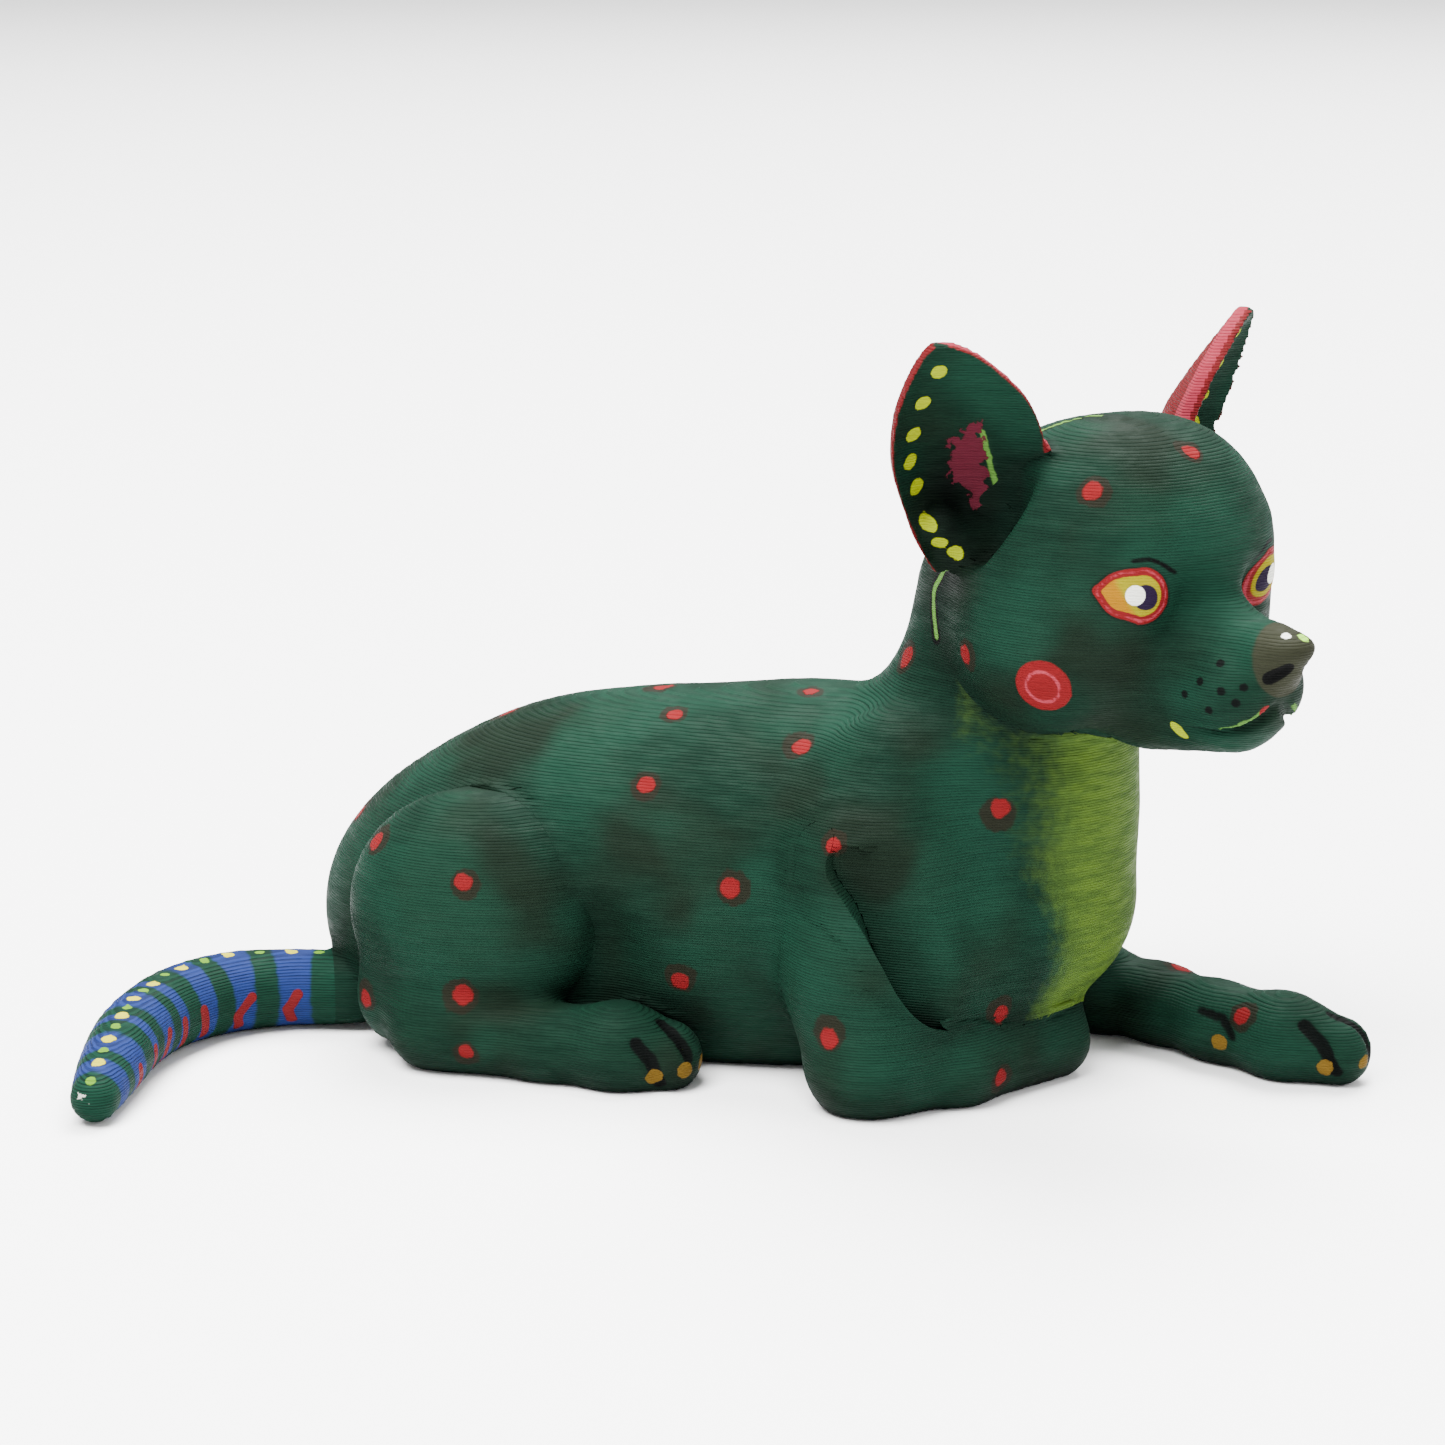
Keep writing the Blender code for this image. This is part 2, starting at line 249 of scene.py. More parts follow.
def path(points, stations, melt):
    """A bent limb through stations, each a place followed by a radius."""
    found = limb(points, stations[0], stations[1])
    for start, end in zip(stations[1:], stations[2:]):
        found = union(found, limb(points, start, end), melt)
    return found


def beyond(points, point, outward):
    """Distance past a plane."""
    outward = np.array(outward, np.float32)
    return (points - np.array(point, np.float32)) @ (outward / np.linalg.norm(outward))


def in_head(points):
    """The points in the head's own frame: X to the nose, Y to its left, Z up."""
    c, s = math.cos(HEAD_TURN), math.sin(HEAD_TURN)
    return (points - HEAD_CENTRE) @ np.array(((c, -s, 0), (s, c, 0), (0, 0, 1)), np.float32)


def folded(points):
    """The right half of space laid on the left one, for shapes that are alike on both sides."""
    return np.stack((points[..., 0], np.abs(points[..., 1]), points[..., 2]), -1)


def flipped(points):
    return points * np.array((1, -1, 1), np.float32)


def torso_form(points):
    """Trunk, chest and lower neck. The hollows and shoulders are drawn on the left and mirrored."""
    both = folded(points)
    found = ball(points, *TRUNK[0])
    for lump in TRUNK[1:]:
        found = union(found, ball(points, *lump), 5.5)
    found = without(found, ball(both, *FLANK_HOLLOW), 3)
    for column in (CHEST, NECK):
        found = union(found, path(points, column, 2), 6)
    found = union(found, ball(both, *SHOULDER_BLADE), 5)
    return union(found, path(both, SHOULDER, 4), 5)


def hind_leg_form(points):
    """The right one; the toes point forward along the belly."""
    found = union(ball(points, *THIGH), path(points, HOCK, 2), 3)
    found = union(found, path(points, HIND_FOOT, 2), 2)
    for line in HIND_TOES:
        found = without(found, path(points, line, 0.1), 0.9)
    return found


def upper_arm_form(points):
    return path(points, UPPER_ARM, 4)


def tucked_leg_form(points):
    return union(upper_arm_form(points), path(points, TUCKED, 2), 3)


def stretched_leg_form(points):
    """Drawn on the right like the others, and flipped on to the left when it is used."""
    found = union(upper_arm_form(points), path(points, STRETCHED, 2), 3)
    for line in FORE_TOES:
        found = without(found, path(points, line, 0.1), 0.9)
    return found


def tail_form(points):
    return path(points, TAIL_CURVE, 0.3)


SKULL = ((0.5, 0, 0.2), (16.8, 16.6, 13.9))
HEAD_LUMPS = (  # middle, radii, and the width of the fillet round each
    ((1.0, 8.5, -8.5), (11.0, 8.5, 8.5), 5),  # cheeks
    ((-4.0, 0, -8.0), (12.0, 12.0, 9.0), 5),  # back of the jaw
    ((4.4, 3.4, 5.2), (8.8, 8.4, 8.0), 4),  # forehead
    ((9.6, 6.3, 3.4), (3.0, 4.2, 1.6), 3),  # brows
)
EYE_SOCKET = ((16.9, 5.2, -2.6), (3.0, 2.4, 2.8))
MUZZLE_BARS = (
    ((8, 0, -11.0, 8.0), (18.6, 0, -10.8, 5.8)),  # upper jaw
    ((10, 0, -5.6, 4.6), (21.5, 0, -7.0, 3.2)),  # bridge of the nose
    ((6, 0, -13.4, 4.6), (18, 0, -13.4, 3.8)),  # lower jaw
)
FACE_LUMPS = (
    ((19.8, 2.6, -11.0), (3.8, 3.4, 3.4), 2),  # lips
    ((9.9, 6.6, -1.2), (5.2, 5.0, 4.3), 1),  # eyeballs
    ((23.6, 0, -7.0), (2.9, 3.4, 2.9), 1.5),  # nose
    ((25.8, 0, -5.9), (1.6, 2.4, 1.2), 1.5),  # tip of the nose
)


def skull_form(points):
    """Skull, cheeks, short muzzle and nose, in the head's own frame."""
    both = folded(points)
    found = ball(both, *SKULL)
    for middle, radii, melt in HEAD_LUMPS:
        found = union(found, ball(both, middle, radii), melt)
    found = without(found, ball(both, *EYE_SOCKET), 3)
    for start, end in MUZZLE_BARS:
        found = union(found, limb(both, start, end), 3)
    for middle, radii, melt in FACE_LUMPS:
        found = union(found, ball(both, middle, radii), melt)
    found = without(found, ball(on_leaf(points), *EAR_HOLLOW), 1.5)
    found = without(found, path(both, MOUTH, 0.3), 0.5)
    return without(found, limb(both, *NOSTRIL), 0.4)


def head_form(points):
    return skull_form(in_head(points))


MOUTH = (
    (12.9, 6.9, -13.1, 0.25),
    (15.3, 5.6, -15.0, 0.35),
    (21.2, 4.2, -14.4, 0.40),
    (23.0, 2.8, -13.7, 0.50),
    (24.6, 0.6, -12.2, 0.80),
)
NOSTRIL = ((25.2, 2.6, -8.7, 0.45), (26.4, 1.5, -7.7, 0.35))

EAR_BASE = np.array((-7.7, 16.7, -1.1), np.float32)
EAR_TIP = np.array((-1.8, 22.4, 23.2), np.float32)
EAR_ROOT = ((-6.0, 14.0, 2.3, 1.9), (-6.4, 17.2, 4.2, 1.7))  # the lump that holds the peg
EAR_HALF_WALL = 0.85
EAR_STATIONS = (0.0, 0.06, 0.15, 0.3, 0.5, 0.7, 0.85, 0.95, 1.0)
EAR_INNER_WIDTH = (0.1, 3.6, 6.6, 9.6, 10.9, 9.5, 6.4, 3.4, 0.6)
EAR_OUTER_WIDTH = (0.1, 1.0, 2.0, 3.4, 4.6, 4.3, 3.0, 1.6, 0.4)
EAR_CUP_DEPTH = (0.0, 0.9, 2.0, 3.4, 3.6, 2.4, 1.2, 0.4, 0.0)

EAR_TABLE = (EAR_STATIONS, EAR_INNER_WIDTH, EAR_OUTER_WIDTH, EAR_CUP_DEPTH)
EAR_CURVE = np.array(curved(tuple(zip(*EAR_TABLE)), 6)).T


def ear_axes():
    """Along the left ear to its tip, across it towards the skull, and out of its cup."""
    along = EAR_TIP - EAR_BASE
    length = float(np.linalg.norm(along))
    along = along / length
    across = np.array((0.5, -0.87, 0.0), np.float32)
    across = across - along * (across @ along)
    across = across / np.linalg.norm(across)
    facing = np.cross(along, across)
    return length, along, across, facing if facing[0] > 0 else -facing


EAR_LENGTH, EAR_ALONG, EAR_ACROSS, EAR_FACING = ear_axes()
EAR_HOLLOW = ((9.5, 3.8, 2.2), (8.0, 5.5, 3.6))  # in the skull, in front of the leaf


def on_leaf(in_head_points):
    """Millimetres along the ear, across it towards the skull, and out of its cup."""
    away = folded(in_head_points) - EAR_BASE
    return away @ np.stack((EAR_ALONG, EAR_ACROSS, EAR_FACING), 1)


def in_ear(points):
    """Share of the way to the tip, share of the way across (1 at the skull side), height over the leaf."""
    leaf_place = on_leaf(in_head(points))
    share = leaf_place[..., 0] / EAR_LENGTH
    side = leaf_place[..., 1]
    inner, outer, depth = (np.interp(share, EAR_CURVE[0], row) for row in EAR_CURVE[1:])
    width = np.where(side > 0, inner, outer)
    across = np.clip(side / np.maximum(width, 1.0), -1.3, 1.3)
    leaf = -depth * (1 - across * across)
    return share, across, leaf_place[..., 2] - leaf, np.abs(side) - width


def ear_form(points):
    share, _, height, past_rim = in_ear(points)
    found = np.maximum((np.abs(height) - EAR_HALF_WALL) * 0.8, past_rim * 0.8)
    found = without(found, (0.5 - np.abs(share - 0.5)) * EAR_LENGTH, 0.5)
    return union(found, limb(folded(in_head(points)), *EAR_ROOT), 2.5)


FORMS = {
    "torso": torso_form,
    "hind_leg_right": hind_leg_form,
    "hind_leg_left": lambda points: hind_leg_form(flipped(points)),
    "foreleg_right": tucked_leg_form,
    "foreleg_left": lambda points: stretched_leg_form(flipped(points)),
    "tail": tail_form,
    "head": head_form,
    "ear": ear_form,
}
MELTS = {  # width of the fillet where each part meets the ones before it
    "hind_leg_right": 1.0,
    "hind_leg_left": 1.0,
    "foreleg_right": 4.5,
    "foreleg_left": 4.5,
    "tail": 1.2,
    "head": 2.5,
    "ear": 1.6,
}
REACH = 10.0  # no part has any say further than this from its own box


def reach_box(name):
    """The box around a part, or around both ears, with the reach added, in millimetres."""
    nodes = ("ear_right", "ear_left") if name == "ear" else (name,)
    corners = np.array([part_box(node) for node in nodes]) / MM
    return corners.min((0, 1)) - REACH, corners.max((0, 1)) + REACH


REACH_BOXES = {name: reach_box(name) for name in FORMS}


def measured(points):
    """The distance to each part of the sculpt."""
    far = {}
    for name, form in FORMS.items():
        low, high = REACH_BOXES[name]
        near = ((points > low) & (points < high)).all(axis=-1)
        far[name] = np.full(points.shape[:-1], REACH, np.float32)
        far[name][near] = form(points[near])
    return far


def skin_of(far):
    """The whole figure's surface, from the distances to its parts."""
    found = far["torso"]
    for name in list(FORMS)[1:]:
        found = union(found, far[name], MELTS[name])
    return found


def nearest_of(far, names):
    return np.minimum.reduce([far[name] for name in names])


LEGS = ("hind_leg_right", "hind_leg_left", "foreleg_right", "foreleg_left")


def own_region(name, points, far):
    """Negative where the figure's material belongs to this piece: flat pads at the neck and the tail,
    and elsewhere the part that is nearest."""
    on_tail = np.maximum(-beyond(points, TAIL_SEAM, TAIL_PULL), far["tail"] - TAIL_FILLET)
    over_neck = points[..., 2] - NECK_SEAM_Z
    if name.startswith("ear"):
        return (far["ear"] - far["head"]) / 2
    if name == "tail":
        return on_tail
    if name == "head":
        not_neck = np.minimum(-over_neck, (far["head"] - far["torso"]) / 2)
        return np.maximum(not_neck, (far["head"] - far["ear"]) / 2)
    if name == "torso":
        nearer = (far["torso"] - nearest_of(far, LEGS + ("head",))) / 2
        return np.maximum.reduce([nearer, over_neck, -on_tail])
    others = [other for other in LEGS + ("torso", "head") if other != name]
    return (far[name] - nearest_of(far, others)) / 2


# Printing -------------------------------------------------------------------------------------------
# Every part is printed on a filament printer in layers 0.28 mm thick. A layer has upright sides, so a
# shallow slope comes out as a flight of terraces. The form is cut at the middle height of each layer,
# and a skin is laid over the stack of outlines.
LAYER = 0.28
MARGIN = 3.0  # how far past its solid's box a piece may run into the fillets around it


def slices(low, high, step):
    """Grid lines from below low to above high, on multiples of the step."""
    return np.arange(math.floor(low / step) - 1, math.ceil(high / step) + 2)


def crossings(value, inside, axis):
    """Where the surface cuts the grid edges along one axis, and how far along each edge."""
    span = value.shape[axis]
    start = np.take(value, range(span - 1), axis)
    end = np.take(value, range(1, span), axis)
    cut = np.take(inside, range(span - 1), axis) != np.take(inside, range(1, span), axis)
    share = np.full(start.shape, 0.5, np.float32)
    if axis < 2:
        np.divide(start, start - end, out=share, where=cut)
    return cut, share


def skinned(value):
    """Corner places in grid units, and four-sided faces, of the surface where the value is zero."""
    inside = value < 0
    cells = tuple(n - 1 for n in value.shape)
    count = np.zeros(cells, np.uint8)
    total = np.zeros(cells + (3,), np.float32)
    cuts = []
    for axis in range(3):
        cut, share = crossings(value, inside, axis)
        cuts.append(cut)
        others = [other for other in range(3) if other != axis]
        for shift in ((0, 0), (0, 1), (1, 0), (1, 1)):
            window = [slice(None)] * 3
            for other, offset in zip(others, shift):
                window[other] = slice(offset, offset + cells[other])
            here = cut[tuple(window)]
            count += here
            total[..., axis] += here * share[tuple(window)]
            for other, offset in zip(others, shift):
                total[..., other] += here * offset
    mixed = count > 0
    number = np.full(cells, -1, np.int32)
    number[mixed] = np.arange(mixed.sum())
    corners = np.argwhere(mixed) + total[mixed] / count[mixed][:, None]
    faces = []
    for axis in range(3):
        edges = np.argwhere(cuts[axis])
        ring = []
        for shift in ((0, 0), (1, 0), (1, 1), (0, 1)):
            cell = edges.copy()
            cell[:, (axis + 1) % 3] -= shift[0]
            cell[:, (axis + 2) % 3] -= shift[1]
            ring.append(number[tuple(cell.T)])
        ring = np.stack(ring, 1)
        entering = ~inside[tuple(edges.T)]
        ring[entering] = ring[entering, ::-1]
        faces.append(ring)
    return corners, np.concatenate(faces)


def snapped(name, corners, step):
    """Moves the corners along a seam, in their own layer, on to the line where seam and skin meet, so
    that the two pieces of a seam end on the same line."""

    def both(points):
        far = measured(points)
        return np.stack((skin_of(far), own_region(name, points, far)), -1)

    off = both(corners)
    near = np.flatnonzero((np.abs(off) < step).all(axis=1))
    points, off = corners[near], off[near]
    points[:, 2] = np.round(points[:, 2] / LAYER) * LAYER
    nudge = 0.02
    sideways = np.eye(3, dtype=np.float32)[:2] * nudge
    for _ in range(3):
        off = both(points)
        slope = np.stack([(both(points + way) - off) / nudge for way in sideways], -1)
        square = slope @ slope.transpose(0, 2, 1) + np.eye(2) * 0.02
        move = slope.transpose(0, 2, 1) @ np.linalg.solve(square, off[..., None])
        points[:, :2] -= np.clip(move[..., 0], -step / 2, step / 2)
    corners[near] = points
    return corners


def printed(name, step, holes=(), margin=MARGIN):
    """One printed part as an object, and its corners in millimetres. Holes are limbs bored out of it."""
    step = step * COARSER
    low, high = (np.array(corner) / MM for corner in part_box(name))
    low, high = low - margin, high + margin
    rows = [slices(low[axis], high[axis], step) for axis in (0, 1)]
    layers = slices(low[2], high[2], LAYER)
    grid = np.stack(np.meshgrid(rows[0] * step, rows[1] * step, (layers + 0.5) * LAYER, indexing="ij"), -1)
    grid = grid.astype(np.float32)
    far = measured(grid)
    value = np.maximum(skin_of(far), own_region(name, grid, far))
    for hole in holes:
        value = np.maximum(value, -limb(grid, *hole))
    value[..., layers < 0] = 1
    for axis in range(3):
        edge = np.moveaxis(value, axis, 0)
        edge[0] = 1
        edge[-1] = 1
    corners, faces = skinned(value)
    origin = (rows[0][0] * step, rows[1][0] * step, (layers[0] + 0.5) * LAYER)
    corners = (corners * (step, step, LAYER) + origin).astype(np.float32)
    corners = snapped(name, corners, step)
    mesh = bpy.data.meshes.new(name + "_print")
    mesh.vertices.add(len(corners))
    mesh.vertices.foreach_set("co", (corners * MM).ravel())
    mesh.loops.add(faces.size)
    mesh.loops.foreach_set("vertex_index", faces.ravel().astype(np.int32))
    mesh.polygons.add(len(faces))
    mesh.polygons.foreach_set("loop_start", np.arange(0, faces.size, 4, dtype=np.int32))
    mesh.update(calc_edges=True)
    mesh.validate()
    mesh.shade_smooth()
    mesh.set_sharp_from_angle(angle=math.radians(52))
    return link(bpy.data.objects.new(name + "_print", mesh)), corners


def paint_map(piece, name, values):
    """Stores one number for every corner of the piece, for its paint to read."""
    attribute = piece.data.attributes.new(name, "FLOAT", "POINT")
    attribute.data.foreach_set("value", np.asarray(values, np.float32))


# Paint ----------------------------------------------------------------------------------------------
# Acrylic paint, brushed and dabbed on by hand: a dark green ground with teal dry-brushed over the
# layer lines and soft brown patches, then spots, strokes and dabs on top. Shade is painted in as well,
# darker in the creases, the layer grooves, the ear cups and near the table. The patterns are laid out
# by distances kept on the print's corners; the shader gives them their ragged brushed edges.
def maths(tree, operation, *values):
    made = tree.nodes.new("ShaderNodeMath")
    made.operation = operation
    for socket, value in zip(made.inputs, values):
        join(tree, socket, value)
    return made.outputs[0]


def ramp(tree, value, low, high, to_low=0.0, to_high=1.0):
    """A smooth step from to_low at low to to_high at high."""
    made = tree.nodes.new("ShaderNodeMapRange")
    made.interpolation_type = "SMOOTHSTEP"
    for socket, number in zip(made.inputs, (value, low, high, to_low, to_high)):
        join(tree, socket, number)
    return made.outputs[0]


def mixed(tree, share, a, b):
    """Colour a with that share of colour b over it."""
    made = tree.nodes.new("ShaderNodeMix")
    made.data_type = "RGBA"
    join(tree, made.inputs[0], share)
    join(tree, made.inputs[6], (*a, 1.0) if isinstance(a, tuple) else a)
    join(tree, made.inputs[7], (*b, 1.0) if isinstance(b, tuple) else b)
    return made.outputs[2]


def scaled(tree, vector, factors):
    made = tree.nodes.new("ShaderNodeVectorMath")
    made.operation = "MULTIPLY"
    join(tree, made.inputs[0], vector)
    made.inputs[1].default_value = factors
    return made.outputs[0]


def noise(tree, vector, size, detail=2.0, rough=0.5):
    """Cloudy noise with features of about this many millimetres."""
    made = tree.nodes.new("ShaderNodeTexNoise")
    join(tree, made.inputs["Vector"], vector)
    made.inputs["Scale"].default_value = 1.0 / (size * MM)
    made.inputs["Detail"].default_value = detail
    made.inputs["Roughness"].default_value = rough
    return made.outputs["Fac"]


def place(tree):
    return tree.nodes.new("ShaderNodeTexCoord").outputs["Object"]


def stored(tree, name):
    made = tree.nodes.new("ShaderNodeAttribute")
    made.attribute_name = name
    return made.outputs["Fac"]


def new_group(name, inputs, outputs):
    """A shader group; inputs and outputs are pairs of a name and a socket type."""
    tree = bpy.data.node_groups.new(name, "ShaderNodeTree")
    for kind, sockets in (("INPUT", inputs), ("OUTPUT", outputs)):
        for socket, socket_type in sockets:
            tree.interface.new_socket(socket, in_out=kind, socket_type="NodeSocket" + socket_type)
    return tree, tree.nodes.new("NodeGroupInput").outputs, tree.nodes.new("NodeGroupOutput").inputs


def use(tree, group, **values):
    made = tree.nodes.new("ShaderNodeGroup")
    made.node_tree = group
    for name, value in values.items():
        join(tree, made.inputs[name], value)
    return made.outputs


def layer_lines():
    """The fine grooves between layers, a little uneven from line to line."""
    tree, _, out = new_group("layer_lines", (), (("Groove", "Float"), ("Height", "Float")))
    spot = place(tree)
    apart = tree.nodes.new("ShaderNodeSeparateXYZ")
    join(tree, apart.inputs[0], spot)
    sway = maths(tree, "MULTIPLY", noise(tree, spot, 9.0), 0.25)
    turns = maths(tree, "ADD", maths(tree, "DIVIDE", apart.outputs["Z"], LAYER * MM), sway)
    wave = maths(tree, "COSINE", maths(tree, "MULTIPLY", turns, 2 * math.pi))
    groove = ramp(tree, wave, -0.3, 1.0)
    fill = ramp(tree, noise(tree, scaled(tree, spot, (0.25, 0.25, 3.0)), 0.9), 0.35, 0.75, 1.0, 0.35)
    groove = maths(tree, "MULTIPLY", groove, fill)
    join(tree, out["Groove"], groove)
    join(tree, out["Height"], maths(tree, "MULTIPLY", groove, -1.0))
    return tree


def brushwork():
    """Streaks along the layers, broad soft patches, and fine speckle, each from 0 to 1."""
    outputs = (("Streak", "Float"), ("Patch", "Float"), ("Speckle", "Float"))
    tree, _, out = new_group("brushwork", (), outputs)
    spot = place(tree)
    streak = noise(tree, scaled(tree, spot, (1.0, 1.0, 5.0)), 5.0, detail=5.0, rough=0.65)
    join(tree, out["Streak"], ramp(tree, streak, 0.36, 0.64))
    join(tree, out["Patch"], ramp(tree, noise(tree, spot, 13.0, detail=1.5), 0.42, 0.66))
    join(tree, out["Speckle"], noise(tree, spot, 0.35, detail=1.0))
    return tree


def dab():
    """A painted mark: 1 within the radius of a stored distance, with a ragged or a soft edge."""
    inputs = (("Distance", "Float"), ("Radius", "Float"), ("Ragged", "Float"), ("Soft", "Float"))
    tree, given, out = new_group("dab", inputs, (("Mask", "Float"),))
    spot = place(tree)
    wander = maths(tree, "SUBTRACT", noise(tree, spot, 1.1, detail=4.0, rough=0.6), 0.5)
    wander = maths(tree, "MULTIPLY", wander, given["Ragged"])
    off = maths(tree, "ADD", maths(tree, "SUBTRACT", given["Distance"], given["Radius"]), wander)
    low = maths(tree, "MULTIPLY", given["Soft"], -1.0)
    join(tree, out["Mask"], ramp(tree, off, low, given["Soft"], 1.0, 0.0))
    return tree


LINES = layer_lines()
BRUSH = brushwork()
DAB = dab()

GROUND_DARK = (0.0014, 0.0062, 0.0038)
GROUND = (0.0026, 0.0130, 0.0072)
TEAL = (0.0042, 0.0240, 0.0140)
BROWN = (0.0038, 0.0054, 0.0028)
# near-black for painted shade in creases, grooves and the ear cups; in the creases it stands for dark
# airbrushing too
DARK_PAINT_AND_SHADE = (0.0003, 0.0007, 0.0005)
SPOT_RED = (0.094, 0.0045, 0.0055)
HALO = (0.0074, 0.0066, 0.0040)
BLACK = (0.0008, 0.0009, 0.0009)
LIME = (0.050, 0.120, 0.020)

GROOVE_DEPTH = 0.09  # mm, as are the two below
SPECKLE_HEIGHT = 0.012
PAINT_THICKNESS = 0.10
ROUGHNESS = (0.60, 0.74)  # from bare to streaked paint
SHEEN = 0.03


def green_ground(tree, shade_and_airbrush):
    """The brushed green over the body, with painted shade in the grooves and, with dark airbrush, in the
    creases.
    """
    brush = use(tree, BRUSH)
    lines = use(tree, LINES)
    colour = mixed(tree, maths(tree, "MULTIPLY", brush["Streak"], 0.45), GROUND, GROUND_DARK)
    colour = mixed(tree, maths(tree, "MULTIPLY", brush["Patch"], 0.65), colour, BROWN)
    highlight = ramp(tree, noise(tree, place(tree), 17.0, detail=2.0), 0.45, 0.62)
    colour = mixed(tree, maths(tree, "MULTIPLY", highlight, 0.6), colour, TEAL)
    # painted shade: the layer grooves darkened
    colour = mixed(tree, maths(tree, "MULTIPLY", lines["Groove"], 0.45), colour, GROUND_DARK)
    # painted shade, with dark airbrushing, in the creases and low down by the table
    return mixed(tree, maths(tree, "MULTIPLY", shade_and_airbrush, 0.92), colour, DARK_PAINT_AND_SHADE)


def marked(tree, colour, name, radius, paint, ragged=0.5, soft=0.06, strength=1.0):
    """Paints a mark over the colour, where the stored distance is below the radius."""
    mask = use(tree, DAB, Distance=stored(tree, name), Radius=radius, Ragged=ragged, Soft=soft)["Mask"]
    if strength != 1.0:
        mask = maths(tree, "MULTIPLY", mask, strength)
    return mixed(tree, mask, colour, paint), mask


def red_spots(tree, colour):
    """Red dabs, each in a soft dark-brown halo."""
    colour, _ = marked(tree, colour, "halo", 1.75, HALO, ragged=1.1, soft=0.16, strength=0.9)
    return marked(tree, colour, "spot", 1.0, SPOT_RED, ragged=0.7, soft=0.14)


def finish_paint(tree, shader, colour, raised=0.0):
    """Colour, sheen and relief: layer lines, with thicker paint standing up over them."""
    lines = use(tree, LINES)
    brush = use(tree, BRUSH)
    join(tree, shader.inputs["Base Color"], colour)
    shader.inputs["Specular IOR Level"].default_value = SHEEN
    join(tree, shader.inputs["Roughness"], ramp(tree, brush["Streak"], 0.0, 1.0, *ROUGHNESS))
    height = maths(tree, "MULTIPLY", lines["Height"], GROOVE_DEPTH)
    height = maths(tree, "ADD", height, maths(tree, "MULTIPLY", brush["Speckle"], SPECKLE_HEIGHT))
    height = maths(tree, "ADD", height, maths(tree, "MULTIPLY", raised, PAINT_THICKNESS))
    bump = tree.nodes.new("ShaderNodeBump")
    bump.inputs["Distance"].default_value = MM
    join(tree, bump.inputs["Height"], height)
    join(tree, shader.inputs["Normal"], bump.outputs["Normal"])


SPOTS = (  # near the skin, in millimetres; each is settled on it before it is painted
    (-33.5, -17.9, 23.7), (-22.2, -22.9, 21.3), (-22.5, -22.6, 8.9), (-21.7, -24.3, 3.2),
    (-4.5, -13.8, 30.2), (-3.4, -6.7, 35.9), (11.4, -11.9, 35.5), (17.3, -20.8, 27.1),
    (5.5, -17.4, 21.3), (-0.1, -16.4, 11.0), (17.9, -27.0, 8.7), (30.4, -12.7, 12.8),
    (34.2, -18.4, 3.0), (32.9, -14.3, 30.6), (21.3, -6.6, 44.1), (29.2, -15.8, 46.8),
    (-24.0, 0.0, 34.0), (-6.6, 0.3, 37.3), (10.4, -3.2, 39.9), (-34.8, -18.6, 6.3),
    (57.0, -2.8, 6.7), (49.5, 6.9, 8.4),
    (-30.0, 17.0, 22.0), (-17.0, 20.0, 25.5), (-24.0, 23.5, 9.5), (-3.0, 15.0, 29.0),
    (4.0, 17.6, 19.0), (12.0, 13.0, 34.5), (19.0, 21.0, 22.0), (20.0, 26.5, 9.0),
    (-45.0, 3.0, 15.0), (-42.0, -4.0, 24.0), (31.0, 14.0, 27.0), (24.0, 9.0, 45.0),
    (25.6, 3.0, 55.0), (35.0, 20.0, 6.0),
    (50.5, -10.6, 66.8), (42.4, -18.3, 64.2), (29.3, -16.1, 46.9), (21.6, -6.9, 44.6),
)


NUDGE = 0.05  # mm, the step that a slope is measured over


def settled(places):
    """The places moved straight on to the skin."""
    points = np.array(places, np.float32)
    steps = np.eye(3, dtype=np.float32) * NUDGE
    for _ in range(4):
        off = skin_of(measured(points))
        slope = np.stack([(skin_of(measured(points + step)) - off) / NUDGE for step in steps], 1)
        points -= off[:, None] * slope / np.maximum((slope**2).sum(1), 0.25)[:, None]
    return points


def settled_line(stations, parts=5):
    """A line through the stations, laid on the skin, as stations with no radius."""
    places = curved([station[:3] for station in stations], parts)
    return [(*place, 0.0) for place in settled(places)]


def nearest(points, centres, sizes=None):
    """Distance from each point to the nearest of the centres, each in units of its own size."""
    found = np.full(len(points), 99.0, np.float32)
    for centre, size in zip(centres, sizes if sizes is not None else np.ones(len(centres))):
        found = np.minimum(found, np.linalg.norm(points - np.array(centre, np.float32), axis=1) / size)
    return found


def to_lines(points, lines):
    """Distance from each point to the nearest of some bent lines."""
    return np.minimum.reduce([path(points, line, 0.01) for line in lines])


BRUSH_HAND = np.random.default_rng(4)
SETTLED_SPOTS = settled(SPOTS)
SPOT_SIZES = BRUSH_HAND.uniform(0.78, 1.12, len(SPOTS))
HALO_CENTRES = settled(SETTLED_SPOTS + BRUSH_HAND.normal(0, 0.32, (len(SPOTS), 3)))

CREASE_HEIGHTS = (8.5, 12.0, 38.0, 44.0)  # the painted shade in the creases is weaker on the upper flanks, where they are open to the light
CREASE_SHADE_STRENGTH = (1.0, 0.3, 0.3, 0.85)


